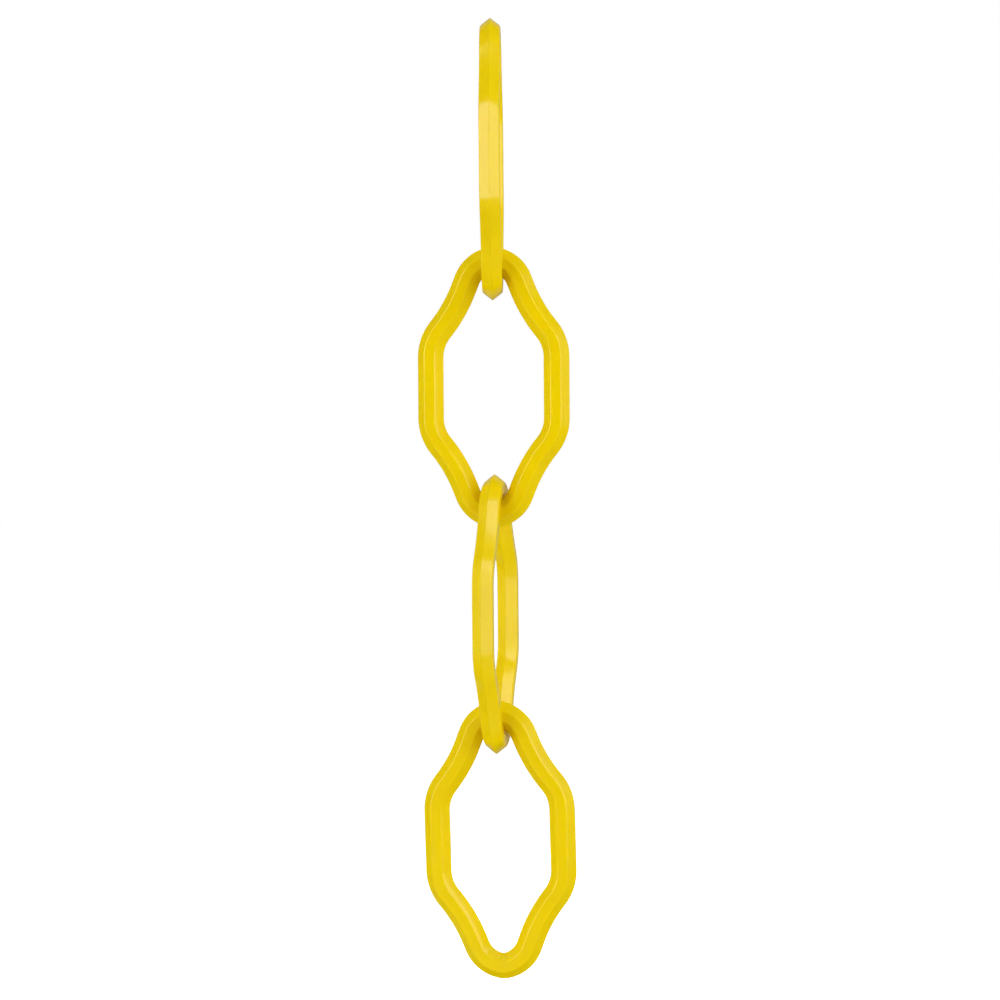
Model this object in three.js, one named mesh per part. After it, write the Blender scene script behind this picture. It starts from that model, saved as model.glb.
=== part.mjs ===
// Hanging length of light plastic chain: four identical moulded links, each a
// closed ring passed through the ring above it, with no split, weld or pin.
//
// Every link is a lozenge with two straight sides. From a straight side the bar
// turns in over a shoulder, runs down a long reverse neck curve and closes round
// a small, slightly pointed end. The bar has a six-sided section: a flat front
// and back face, and two sloping faces on the outside and on the inside that
// meet on the mould's parting line.
//
// Units are millimetres and +Z is up. The origin is the inside of the top link's
// upper end, where a hook or pin bears. X runs across the chain and Y through it.

import * as THREE from 'three';

// Link outline
const INNER_LENGTH = 51.0; // clear length inside a link, end to end
const HALF_WIDTH = 14.17; // long axis to the middle of a straight side
const SHOULDER_RADIUS = 9.85; // middle of the bar, side to neck
const SHOULDER_ANGLE = 39.2; // how far the shoulder turns in, degrees
const NECK_RADIUS = 34.4; // reverse curve between shoulder and end
const NECK_ANGLE = 21.5; // slope left at the end of the neck, degrees
const END_RADIUS = 7.17; // middle of the bar round each end
const END_POINT_ANGLE = 6.3; // the end arcs stop this short of square, degrees

// Bar section
const BAR_DEPTH = 5.79; // in the plane of the link, ridge to ridge
const BAR_THICKNESS = 4.55; // front face to back face
const FACE_WIDTH = 2.1; // width of the flat front and back faces
const PARTING_LAND = 0.2; // narrow land where the mould halves meet

// How the links hang
const CONTACT_GAP = 0.3; // left between the bars that bear on each other
const HEADINGS = [88.3, -8.0, 78.7, -8.5]; // plane of each link about Z, degrees from X
const BOTTOM_LEAN = 1.3; // the bottom link hangs this far off plumb, degrees

// Facets per curve in one quarter of the outline
const SHOULDER_STEPS = 6;
const NECK_STEPS = 3;
const END_STEPS = 9;

const rad = THREE.MathUtils.degToRad;

// One quarter of the outline, from the end of the straight side round to the
// point on the long axis, moved out from the middle of the bar by `out`.
function quarter( out ) {

	const a1 = rad( SHOULDER_ANGLE );
	const a2 = rad( NECK_ANGLE );
	const a3 = Math.PI / 2 - rad( END_POINT_ANGLE );
	const points = [];
	let x = HALF_WIDTH;
	let y = 0;

	const arc = ( radius, from, to, steps ) => {

		for ( let i = 1; i <= steps; i ++ ) {

			const a = from + ( to - from ) * i / steps;
			points.push( [
				x + radius * ( Math.cos( a ) - Math.cos( from ) ) + out * Math.cos( a ),
				y + radius * ( Math.sin( a ) - Math.sin( from ) ) + out * Math.sin( a )
			] );

		}

		x += radius * ( Math.cos( to ) - Math.cos( from ) );
		y += radius * ( Math.sin( to ) - Math.sin( from ) );

	};

	points.push( [ x + out, y ] );
	arc( SHOULDER_RADIUS, 0, a1, SHOULDER_STEPS );
	arc( - NECK_RADIUS, a1, a2, NECK_STEPS );

	// A short straight closes the outline onto the long axis
	const straight = ( x - END_RADIUS * ( Math.cos( a2 ) - Math.cos( a3 ) ) ) / Math.sin( a2 );
	x -= straight * Math.sin( a2 );
	y += straight * Math.cos( a2 );
	points.push( [ x + out * Math.cos( a2 ), y + out * Math.sin( a2 ) ] );
	arc( END_RADIUS, a2, a3, END_STEPS );

	// The two end arcs meet in a point on the long axis
	const tip = points[ points.length - 1 ];
	tip[ 1 ] += tip[ 0 ] * Math.tan( rad( END_POINT_ANGLE ) );
	tip[ 0 ] = 0;

	return points;

}

// Half the straight side is whatever makes the clear inside length come right
const innerTip = quarter( - BAR_DEPTH / 2 ).pop()[ 1 ];
const SIDE_HALF = INNER_LENGTH / 2 - innerTip;

// Closed outline, anticlockwise from the right-hand side
function outline( out ) {

	const q = quarter( out ).map( ( [ x, y ] ) => [ x, y + SIDE_HALF ] );
	const r = q.slice( 0, - 1 ).reverse();
	return [
		...q,
		...r.map( ( [ x, y ] ) => [ - x, y ] ),
		...q.map( ( [ x, y ] ) => [ - x, - y ] ),
		...r.map( ( [ x, y ] ) => [ x, - y ] )
	].map( ( [ x, y ] ) => new THREE.Vector2( x, y ) );

}

// The flat faces are extruded and bevelled out to the parting line
function linkGeometry() {

	const shape = new THREE.Shape( outline( FACE_WIDTH / 2 ) );
	shape.holes.push( new THREE.Path( outline( - FACE_WIDTH / 2 ).reverse() ) );

	const geometry = new THREE.ExtrudeGeometry( shape, {
		depth: PARTING_LAND,
		bevelEnabled: true,
		bevelThickness: ( BAR_THICKNESS - PARTING_LAND ) / 2,
		bevelSize: ( BAR_DEPTH - FACE_WIDTH ) / 2,
		bevelSegments: 1
	} );
	geometry.translate( 0, 0, - PARTING_LAND / 2 );
	geometry.rotateX( Math.PI / 2 ); // stand it up: long axis on Z
	return geometry;

}

const plastic = () => new THREE.MeshStandardMaterial( {
	color: new THREE.Color().setRGB( 0.91, 0.80, 0.02, THREE.SRGBColorSpace ),
	roughness: 0.32,
	metalness: 0
} );

function link( name, heading ) {

	const mesh = new THREE.Mesh( linkGeometry(), plastic() );
	mesh.name = name;
	mesh.rotation.z = rad( heading );
	return mesh;

}

const chain = new THREE.Group();

// From a link's middle down to the middle of its lower end bar, and from there
// down to the middle of the link that hangs on it
const TO_LOWER_BAR = INNER_LENGTH / 2 + BAR_DEPTH / 2;
const BELOW_BAR = INNER_LENGTH / 2 - BAR_DEPTH / 2 - CONTACT_GAP;
const PITCH = TO_LOWER_BAR + BELOW_BAR;

const topLink = link( 'top_link', HEADINGS[ 0 ] );
topLink.position.z = - INNER_LENGTH / 2;
chain.add( topLink );

const upperLink = link( 'upper_link', HEADINGS[ 1 ] );
upperLink.position.z = topLink.position.z - PITCH;
chain.add( upperLink );

const lowerLink = link( 'lower_link', HEADINGS[ 2 ] );
lowerLink.position.z = upperLink.position.z - PITCH;
chain.add( lowerLink );

// The bottom link leans a little, turned about the bar that it hangs on
const bearing = new THREE.Group();
bearing.position.z = lowerLink.position.z - TO_LOWER_BAR;
bearing.quaternion.setFromAxisAngle(
	new THREE.Vector3( Math.cos( rad( HEADINGS[ 2 ] ) ), Math.sin( rad( HEADINGS[ 2 ] ) ), 0 ),
	- rad( BOTTOM_LEAN )
);
const bottomLink = link( 'bottom_link', HEADINGS[ 3 ] );
bottomLink.position.z = - BELOW_BAR;
bearing.add( bottomLink );
chain.add( bearing );

export default chain;
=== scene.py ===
"""Looks for a hanging length of yellow moulded plastic chain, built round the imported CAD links."""

import math

import bpy
import numpy as np
from mathutils import Matrix, Vector, noise


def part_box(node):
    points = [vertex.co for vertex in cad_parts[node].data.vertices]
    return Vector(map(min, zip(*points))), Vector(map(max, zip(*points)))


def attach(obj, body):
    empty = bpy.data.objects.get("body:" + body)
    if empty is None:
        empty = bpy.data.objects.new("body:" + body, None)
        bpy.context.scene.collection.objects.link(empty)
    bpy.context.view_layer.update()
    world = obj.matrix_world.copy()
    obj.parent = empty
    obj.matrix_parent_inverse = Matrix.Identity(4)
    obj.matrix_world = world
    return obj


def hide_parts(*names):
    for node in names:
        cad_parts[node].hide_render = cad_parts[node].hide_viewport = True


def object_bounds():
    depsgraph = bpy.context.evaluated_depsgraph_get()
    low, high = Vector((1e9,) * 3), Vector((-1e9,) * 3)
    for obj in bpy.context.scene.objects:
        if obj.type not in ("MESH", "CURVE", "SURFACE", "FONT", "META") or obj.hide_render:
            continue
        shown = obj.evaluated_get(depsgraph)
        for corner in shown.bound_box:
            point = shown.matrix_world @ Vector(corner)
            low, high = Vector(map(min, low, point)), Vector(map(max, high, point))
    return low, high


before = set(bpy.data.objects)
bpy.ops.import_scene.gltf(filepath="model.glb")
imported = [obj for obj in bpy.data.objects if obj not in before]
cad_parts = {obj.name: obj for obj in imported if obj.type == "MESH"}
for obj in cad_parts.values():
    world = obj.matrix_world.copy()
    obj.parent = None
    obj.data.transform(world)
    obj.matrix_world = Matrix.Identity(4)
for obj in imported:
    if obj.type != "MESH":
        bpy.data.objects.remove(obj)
cad_lo, cad_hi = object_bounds()
scene = bpy.context.scene
scene.view_settings.view_transform = "Standard"
scene.view_settings.look = "None"
scene.view_settings.exposure = 0.0
scene.view_settings.gamma = 1.0

MM = 0.001

# ---------------------------------------------------------------- camera
MID_Z = (cad_lo.z + cad_hi.z) / 2
DISTANCE = 0.667
CAM_X = 0.00118
CAM_RISE = 0.0252  # the lens is this far above the middle of the chain
ROLL = math.radians(0.563)

cam_data = bpy.data.cameras.new("camera")
cam_data.sensor_width = 36.0
cam_data.lens = 107.57
cam_data.clip_start, cam_data.clip_end = 0.01, 50.0
camera = bpy.data.objects.new("camera", cam_data)
scene.collection.objects.link(camera)
scene.camera = camera
aim = Vector((CAM_X, 0.0, MID_Z + 0.00023))
eye = aim + Vector((0.0, -DISTANCE, CAM_RISE))
look = (aim - eye).normalized()
right = look.cross(Vector((0, 0, 1))).normalized()
up = right.cross(look)
right, up = (
    right * math.cos(ROLL) - up * math.sin(ROLL),
    up * math.cos(ROLL) + right * math.sin(ROLL),
)
camera.matrix_world = Matrix(
    (
        (right.x, up.x, -look.x, eye.x),
        (right.y, up.y, -look.y, eye.y),
        (right.z, up.z, -look.z, eye.z),
        (0, 0, 0, 1),
    )
)

# ---------------------------------------------------------------- link shape, as in the CAD source (mm)
INNER_LENGTH = 51.0
HALF_WIDTH = 14.17
SHOULDER_RADIUS = 9.85
SHOULDER_ANGLE = math.radians(39.2)
NECK_RADIUS = 34.4
NECK_ANGLE = math.radians(21.5)
END_RADIUS = 7.17
END_POINT = math.radians(6.3)
BAR_DEPTH = 5.79
BAR_THICKNESS = 4.55

# the visual section: the CAD hexagon with moulded radii, a parting line and slightly crowned faces
FACE_OUT, FACE_IN = 1.14, 1.08  # the flat faces' edges, outward and inward of the middle
FACE_ROUND = 0.62
RIDGE_ROUND = 0.07
CROWN = 0.018
FLASH_WIDTH, FLASH_HEIGHT = 0.036, 0.002


def ridge_vertex(face_edge):
    """Where the two slopes would meet, so that the rounded ridge still ends at half the bar's depth."""
    p = BAR_DEPTH / 2
    for _ in range(20):
        phi = math.atan2(BAR_THICKNESS / 2, p - face_edge)
        p = BAR_DEPTH / 2 + RIDGE_ROUND * (1 / math.sin(phi) - 1)
    return p


def rounded(corners, radii, per_arc):
    """A closed polygon with its corners rounded, as points."""
    out = []
    n = len(corners)
    for i in range(n):
        c = np.array(corners[i])
        a = np.array(corners[i - 1]) - c
        b = np.array(corners[(i + 1) % n]) - c
        a, b = a / np.linalg.norm(a), b / np.linalg.norm(b)
        half = math.acos(max(-1, min(1, float(a @ b)))) / 2
        mid = (a + b) / np.linalg.norm(a + b)
        centre = c + mid * radii[i] / math.sin(half)
        start = c + a * radii[i] / math.tan(half) - centre
        end = c + b * radii[i] / math.tan(half) - centre
        t0, t1 = math.atan2(start[1], start[0]), math.atan2(end[1], end[0])
        sweep = (t1 - t0 + math.pi) % (2 * math.pi) - math.pi
        for k in range(per_arc[i] + 1):
            t = t0 + sweep * k / per_arc[i]
            out.append(centre + radii[i] * np.array([math.cos(t), math.sin(t)]))
    return out


def section():
    """(p, q) points round the bar: p outward in the link's plane, q out of the plane."""
    t = BAR_THICKNESS / 2
    po, pi = ridge_vertex(FACE_OUT), ridge_vertex(FACE_IN)
    corners = [(po, 0), (FACE_OUT, t), (-FACE_IN, t), (-pi, 0), (-FACE_IN, -t), (FACE_OUT, -t)]
    radii = [RIDGE_ROUND, FACE_ROUND, FACE_ROUND, RIDGE_ROUND, FACE_ROUND, FACE_ROUND]
    arcs = rounded(corners, radii, [10, 8, 8, 10, 8, 8])
    pts = []
    n = len(arcs)
    for i in range(n):
        a, b = np.array(arcs[i]), np.array(arcs[(i + 1) % n])
        pts.append(a)
        gap = np.linalg.norm(b - a)
        if gap > 0.35:  # a face: fill it in, very slightly crowned
            steps = int(math.ceil(gap / 0.22))
            normal = np.array([b[1] - a[1], a[0] - b[0]]) / gap
            for k in range(1, steps):
                f = k / steps
                pts.append(a + (b - a) * f + normal * CROWN * 4 * f * (1 - f))
    # the mould's parting line: a fine raised witness on both ridges
    out = []
    for p, q in pts:
        if abs(q) < FLASH_WIDTH:
            p += math.copysign(FLASH_HEIGHT * (1 - (q / FLASH_WIDTH) ** 2), p)
        out.append((p, q))
    for side in (1, -1):
        k = min(range(len(out)), key=lambda i: (abs(out[i][1]) + (0 if out[i][0] * side > 0 else 9)))
        p, q = out[k]
        extra = []
        for dq in (-FLASH_WIDTH, -FLASH_WIDTH / 2, FLASH_WIDTH / 2, FLASH_WIDTH):
            extra.append((p - side * (FLASH_HEIGHT * (dq / FLASH_WIDTH) ** 2 + dq * dq / (2 * RIDGE_ROUND)), q + dq))
        if side < 0:
            extra = extra[::-1]
        out[k : k + 1] = extra[:2] + [(p, q)] + extra[2:]
    # drop points that crowd each other
    kept = [out[0]]
    for p in out[1:]:
        if math.dist(p, kept[-1]) > 0.012:
            kept.append(p)
    if math.dist(kept[0], kept[-1]) < 0.012:
        kept.pop()
    return kept


def quarter_row(p, steps):
    """One quarter of the outline, offset outward by p from the middle of the bar: from the middle of the straight side to the point on the long axis."""
    a1, a2, a3 = SHOULDER_ANGLE, NECK_ANGLE, math.pi / 2 - END_POINT
    pts = []
    x, y = HALF_WIDTH, 0.0
    shoulder = [
        (x + (SHOULDER_RADIUS + p) * (math.cos(a) - 1) + p, (SHOULDER_RADIUS + p) * math.sin(a))
        for a in np.linspace(0, a1, steps[1] + 1)
    ]
    x += SHOULDER_RADIUS * (math.cos(a1) - 1)
    y += SHOULDER_RADIUS * math.sin(a1)
    neck = [
        (
            x - NECK_RADIUS * (math.cos(a) - math.cos(a1)) + p * math.cos(a),
            y - NECK_RADIUS * (math.sin(a) - math.sin(a1)) + p * math.sin(a),
        )
        for a in np.linspace(a1, a2, steps[2] + 1)
    ]
    x -= NECK_RADIUS * (math.cos(a2) - math.cos(a1))
    y -= NECK_RADIUS * (math.sin(a2) - math.sin(a1))
    run = (x - END_RADIUS * (math.cos(a2) - math.cos(a3))) / math.sin(a2)
    x -= run * math.sin(a2)
    y += run * math.cos(a2)
    start = (x + p * math.cos(a2), y + p * math.sin(a2))
    straight = [
        (neck[-1][0] + (start[0] - neck[-1][0]) * f, neck[-1][1] + (start[1] - neck[-1][1]) * f)
        for f in np.linspace(0, 1, steps[3] + 1)
    ]
    cx, cy = x - END_RADIUS * math.cos(a2), y - END_RADIUS * math.sin(a2)
    r = END_RADIUS + p
    last = math.acos(-cx / r)
    end = [(cx + r * math.cos(a), cy + r * math.sin(a)) for a in np.linspace(a2, last, steps[4] + 1)]
    end[-1] = (0.0, end[-1][1])
    tip = END_RADIUS - BAR_DEPTH / 2
    side = INNER_LENGTH / 2 - (cy + tip * math.sin(math.acos(-cx / tip)))
    pts = [(HALF_WIDTH + p, side * f) for f in np.linspace(0, 1, steps[0] + 1)[:-1]]
    pts += [(u, v + side) for u, v in shoulder[:-1] + neck[:-1] + straight[:-1] + end]
    return pts


STEPS = (16, 20, 26, 6, 44)


def soften_tips(grid, n_quarter):
    """The two arcs of each end meet in a point: ease its crease over about half a millimetre."""
    total = grid.shape[1]
    for tip in (n_quarter, 3 * n_quarter):
        idx = [(tip + k) % total for k in range(-7, 8)]
        w = np.array([math.exp(-((k / 3.2) ** 2)) for k in range(-7, 8)])
        for _ in range(6):
            block = grid[:, idx].copy()
            smooth = block.copy()
            smooth[:, 1:-1] = (block[:, :-2] + 2 * block[:, 1:-1] + block[:, 2:]) / 4
            grid[:, idx] = block + (smooth - block) * w[None, :, None]
    return grid


def link_mesh(name, seed):
    """The link in its own frame, in metres: x across, z along, y out of its plane."""
    sec = section()
    rows = []
    for p, q in sec:
        qrow = quarter_row(p, STEPS)
        a = [(u, v) for u, v in qrow]
        r = a[1:-1][::-1]
        ring = (
            a
            + [(-u, v) for u, v in r]
            + [(-a[0][0], 0.0)]
            + [(-u, -v) for u, v in a[1:-1]]
            + [(0.0, -a[-1][1])]
            + [(u, -v) for u, v in r]
        )
        rows.append([(u, q, v) for u, v in ring])
    grid = np.array(rows, float)  # section x stations x 3
    grid = soften_tips(grid, len(quarter_row(0.0, STEPS)) - 1)
    ns, nt = grid.shape[:2]
    # normals from the grid, for the fine unevenness of a moulded surface
    du = np.roll(grid, -1, 0) - np.roll(grid, 1, 0)
    dv = np.roll(grid, -1, 1) - np.roll(grid, 1, 1)
    nor = np.cross(du, dv)
    nor /= np.linalg.norm(nor, axis=2, keepdims=True) + 1e-12
    centre = grid.mean(0, keepdims=True)
    if ((grid - centre) * nor).sum() < 0:
        nor = -nor
    off = Vector((seed * 13.1, seed * 7.7, seed * 3.3))
    for i in range(ns):
        for j in range(nt):
            c = Vector(grid[i, j])
            d = 0.016 * noise.noise(c / 6.5 + off) + 0.006 * noise.noise(c / 2.1 + off * 2)
            grid[i, j] += nor[i, j] * d
    # wear: where the neighbouring links rub on the inside of each end
    wear = np.zeros((ns, nt), np.float32)
    for i, (p, q) in enumerate(sec):
        for j in range(nt):
            u, _, v = grid[i, j]
            near = math.exp(-((u / 3.2) ** 2)) * (1 if abs(v) > INNER_LENGTH / 2 - 1.5 else 0)
            wear[i, j] = near * max(0.0, min(1.0, (0.4 - p) / 2.2))
    verts = (grid.reshape(-1, 3) * MM).tolist()
    faces = []
    for i in range(ns):
        i2 = (i + 1) % ns
        for j in range(nt):
            j2 = (j + 1) % nt
            faces.append((i * nt + j, i * nt + j2, i2 * nt + j2, i2 * nt + j))
    # every face is wound the same way round, so the signed volume says whether that is outward
    quads, flat = np.array(faces), grid.reshape(-1, 3)
    p0, p1, p2, p3 = (flat[quads[:, k]] for k in range(4))
    if (p0 * np.cross(p1, p2)).sum() + (p0 * np.cross(p2, p3)).sum() < 0:
        faces = [f[::-1] for f in faces]
    mesh = bpy.data.meshes.new(name)
    mesh.from_pydata(verts, [], faces)
    attribute = mesh.attributes.new("wear", "FLOAT", "POINT")
    attribute.data.foreach_set("value", wear.ravel())
    mesh.polygons.foreach_set("use_smooth", [True] * len(mesh.polygons))
    mesh.update()
    return mesh


def axes_of(node):
    """The CAD link's middle and its own directions (across, through, along), from its vertices."""
    co = np.array([v.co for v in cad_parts[node].data.vertices], float)
    lo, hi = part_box(node)
    mid = (np.array(lo) + np.array(hi)) / 2
    co -= mid
    values, vectors = np.linalg.eigh(co.T @ co)
    through, across, along = vectors[:, 0], vectors[:, 1], vectors[:, 2]
    if along[2] < 0:
        along = -along
    if across[0] + across[1] < 0:
        across = -across
    through = np.cross(along, across)
    return mid, across, through, along


# ---------------------------------------------------------------- material
def node(tree, kind, **inputs):
    n = tree.nodes.new(kind)
    for k, v in inputs.items():
        if k in n.inputs:
            n.inputs[k].default_value = v
        else:
            setattr(n, k, v)
    return n


def plastic(name, seed):
    """Bright yellow moulded polyethylene: semi-gloss, slightly translucent, with faint flow mottling, fine grain and rubbed bearing surfaces."""
    m = bpy.data.materials.new(name)
    m.use_nodes = True
    t = m.node_tree
    t.nodes.clear()
    out = t.nodes.new("ShaderNodeOutputMaterial")
    bsdf = t.nodes.new("ShaderNodeBsdfPrincipled")
    t.links.new(bsdf.outputs["BSDF"], out.inputs["Surface"])
    coord = t.nodes.new("ShaderNodeTexCoord")
    shift = t.nodes.new("ShaderNodeMapping")
    shift.inputs["Location"].default_value = (seed * 0.173, seed * 0.091, seed * 0.057)
    t.links.new(coord.outputs["Object"], shift.inputs["Vector"])

    def tex(scale, detail, rough=0.5, distortion=0.0):
        n = t.nodes.new("ShaderNodeTexNoise")
        n.inputs["Scale"].default_value = scale
        n.inputs["Detail"].default_value = detail
        n.inputs["Roughness"].default_value = rough
        n.inputs["Distortion"].default_value = distortion
        t.links.new(shift.outputs["Vector"], n.inputs["Vector"])
        return n

    def ramp(source, lo, hi, a, b):
        n = t.nodes.new("ShaderNodeMapRange")
        n.inputs["From Min"].default_value = lo
        n.inputs["From Max"].default_value = hi
        n.inputs["To Min"].default_value = a
        n.inputs["To Max"].default_value = b
        t.links.new(source, n.inputs["Value"])
        return n

    # colour: pigment flow at a few millimetres, and paler rubbed bearings
    flow = tex(140.0, 3.0, 0.55, 0.6)
    mix = t.nodes.new("ShaderNodeMix")
    mix.data_type = "RGBA"
    mix.inputs[6].default_value = (0.800, 0.594, 0.0004, 1)
    mix.inputs[7].default_value = (0.835, 0.628, 0.0008, 1)
    t.links.new(ramp(flow.outputs["Fac"], 0.3, 0.7, 0.0, 1.0).outputs["Result"], mix.inputs[0])
    wear = t.nodes.new("ShaderNodeAttribute")
    wear.attribute_name = "wear"
    rub = tex(900.0, 4.0, 0.65)
    worn = t.nodes.new("ShaderNodeMath")
    worn.operation = "MULTIPLY"
    t.links.new(wear.outputs["Fac"], worn.inputs[0])
    t.links.new(ramp(rub.outputs["Fac"], 0.35, 0.65, 0.2, 1.0).outputs["Result"], worn.inputs[1])
    pale = t.nodes.new("ShaderNodeMix")
    pale.data_type = "RGBA"
    pale.inputs[7].default_value = (0.84, 0.66, 0.03, 1)
    t.links.new(mix.outputs[2], pale.inputs[6])
    half = t.nodes.new("ShaderNodeMath")
    half.operation = "MULTIPLY"
    half.inputs[1].default_value = 0.35
    t.links.new(worn.outputs[0], half.inputs[0])
    t.links.new(half.outputs[0], pale.inputs[0])
    t.links.new(pale.outputs[2], bsdf.inputs["Base Color"])

    # gloss: uneven, duller where it rubs
    gloss = ramp(tex(260.0, 4.0, 0.6).outputs["Fac"], 0.3, 0.7, 0.14, 0.19)
    dull = t.nodes.new("ShaderNodeMath")
    dull.operation = "MULTIPLY_ADD"
    dull.inputs[1].default_value = 0.18
    t.links.new(worn.outputs[0], dull.inputs[0])
    t.links.new(gloss.outputs["Result"], dull.inputs[2])
    t.links.new(dull.outputs[0], bsdf.inputs["Roughness"])

    # surface: orange peel and a very fine grain
    peel = t.nodes.new("ShaderNodeBump")
    peel.inputs["Strength"].default_value = 0.08
    peel.inputs["Distance"].default_value = 0.00004
    t.links.new(tex(1100.0, 2.0, 0.5).outputs["Fac"], peel.inputs["Height"])
    grain = t.nodes.new("ShaderNodeBump")
    grain.inputs["Strength"].default_value = 0.05
    grain.inputs["Distance"].default_value = 0.00001
    t.links.new(tex(5200.0, 3.0, 0.6).outputs["Fac"], grain.inputs["Height"])
    t.links.new(peel.outputs["Normal"], grain.inputs["Normal"])
    t.links.new(grain.outputs["Normal"], bsdf.inputs["Normal"])

    bsdf.inputs["IOR"].default_value = 1.5
    bsdf.inputs["Subsurface Weight"].default_value = 0.36
    bsdf.inputs["Subsurface Radius"].default_value = (1.0, 0.62, 0.03)
    bsdf.inputs["Subsurface Scale"].default_value = 0.0022
    return m


LINKS = ["top_link", "upper_link", "lower_link", "bottom_link"]
for number, name in enumerate(LINKS):
    mid, across, through, along = axes_of(name)
    mesh = link_mesh(name + "_moulding", number + 1)
    place = Matrix(
        (
            (across[0], through[0], along[0], mid[0]),
            (across[1], through[1], along[1], mid[1]),
            (across[2], through[2], along[2], mid[2]),
            (0, 0, 0, 1),
        )
    )
    mesh.transform(place)
    mesh.update()
    mesh.materials.append(plastic(name + "_yellow", number + 1))
    piece = bpy.data.objects.new(name + "_moulding", mesh)
    scene.collection.objects.link(piece)
    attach(piece, name)
    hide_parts(name)
    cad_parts[name].data.materials.clear()
    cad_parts[name].data.materials.append(mesh.materials[0])

# ---------------------------------------------------------------- studio
def area(name, azimuth, elevation, distance, width, height, radiance, centre_z, glossy=True, diffuse=True):
    """A softbox that faces the chain. Azimuth is measured from the front, positive to the right."""
    data = bpy.data.lights.new(name, "AREA")
    data.shape = "RECTANGLE"
    data.size, data.size_y = width, height
    data.energy = radiance * math.pi * width * height
    o = bpy.data.objects.new(name, data)
    scene.collection.objects.link(o)
    a, e = math.radians(azimuth), math.radians(elevation)
    away = Vector((math.sin(a) * math.cos(e), -math.cos(a) * math.cos(e), math.sin(e)))
    o.location = Vector((0, 0, centre_z)) + away * distance
    o.rotation_mode = "QUATERNION"
    o.rotation_quaternion = away.to_track_quat("Z", "Y")
    o.visible_camera = False
    o.visible_glossy = glossy
    o.visible_diffuse = diffuse
    return o


# what the gloss shows: two upright softboxes with dimmer edges, and the pale backdrop at the rims
for label, azimuth, width, height, radiance, centre_z in (
    ("softbox_left", -80, 0.44, 0.81, 2.85, -0.054),
    ("softbox_left_edge", -103, 0.22, 0.90, 0.12, -0.164),
    ("softbox_right", 70.5, 0.40, 0.85, 2.40, -0.034),
    ("softbox_right_front", 50, 0.26, 1.08, 1.30, -0.004),
    ("softbox_right_edge", 98, 0.36, 0.72, 0.38, -0.099),
):
    area(label, azimuth, 10, 1.0, width, height, radiance, centre_z, diffuse=False)
area("backdrop_glow", 180, 0, 1.1, 2.6, 2.2, 0.26, MID_Z, diffuse=False)
# the even light of a white tent, open towards the lens, a little stronger from above
for label, azimuth, elevation, radiance in (
    ("back", 180, 0, 1.0),
    ("left", -90, 0, 0.68),
    ("right", 90, 0, 0.88),
    ("top", 0, 90, 0.50),
    ("bottom", 0, -90, 1.34),
):
    area("tent_" + label, azimuth, elevation, 1.2, 2.4, 2.4, radiance, MID_Z, glossy=False)
for label, azimuth, elevation, radiance in (
    ("upper_left", -46, 30, 1.50),
    ("upper_right", 46, 30, 1.94),
    ("lower_left", -46, -28, 1.78),
    ("lower_right", 46, -28, 1.82),
    ("low_front", 0, -48, 0.42),
):
    area("fill_" + label, azimuth, elevation, 1.0, 0.9, 0.9, radiance, MID_Z + 0.17, glossy=False)

world = bpy.data.worlds.new("studio")
scene.world = world
world.use_nodes = True
wt = world.node_tree
wt.nodes.clear()
w_out = wt.nodes.new("ShaderNodeOutputWorld")
seen = wt.nodes.new("ShaderNodeBackground")
seen.inputs["Color"].default_value = (1, 1, 1, 1)
seen.inputs["Strength"].default_value = 1.0
lit = wt.nodes.new("ShaderNodeBackground")
w_mix = wt.nodes.new("ShaderNodeMixShader")
path = wt.nodes.new("ShaderNodeLightPath")
wt.links.new(path.outputs["Is Camera Ray"], w_mix.inputs[0])
wt.links.new(lit.outputs[0], w_mix.inputs[1])
wt.links.new(seen.outputs[0], w_mix.inputs[2])
wt.links.new(w_mix.outputs[0], w_out.inputs[0])
lit.inputs["Strength"].default_value = 0.0

# a plain pale floor, well below the chain's lower end
floor_mesh = bpy.data.meshes.new("floor")
ring = [
    (6.0 * math.cos(2 * math.pi * k / 96), 6.0 * math.sin(2 * math.pi * k / 96), 0.0) for k in range(96)
]
floor_mesh.from_pydata(ring, [], [tuple(range(96))])
floor = bpy.data.objects.new("floor", floor_mesh)
floor.location.z = cad_lo.z - 0.16
scene.collection.objects.link(floor)
floor_mat = bpy.data.materials.new("pale_floor")
floor_mat.use_nodes = True
ft = floor_mat.node_tree
fb = ft.nodes["Principled BSDF"]
fb.inputs["Emission Color"].default_value = (1, 1, 1, 1)
fb.inputs["Emission Strength"].default_value = 1.0
fb.inputs["Roughness"].default_value = 0.9
f_noise = ft.nodes.new("ShaderNodeTexNoise")
f_noise.inputs["Scale"].default_value = 30.0
f_mix = ft.nodes.new("ShaderNodeMix")
f_mix.data_type = "RGBA"
f_mix.inputs[6].default_value = (0.93, 0.93, 0.925, 1)
f_mix.inputs[7].default_value = (0.95, 0.95, 0.95, 1)
ft.links.new(f_noise.outputs["Fac"], f_mix.inputs[0])
ft.links.new(f_mix.outputs[2], fb.inputs["Base Color"])
floor_mat.cycles.emission_sampling = "NONE"
floor_mesh.materials.append(floor_mat)
floor.visible_glossy = False
floor.visible_diffuse = False
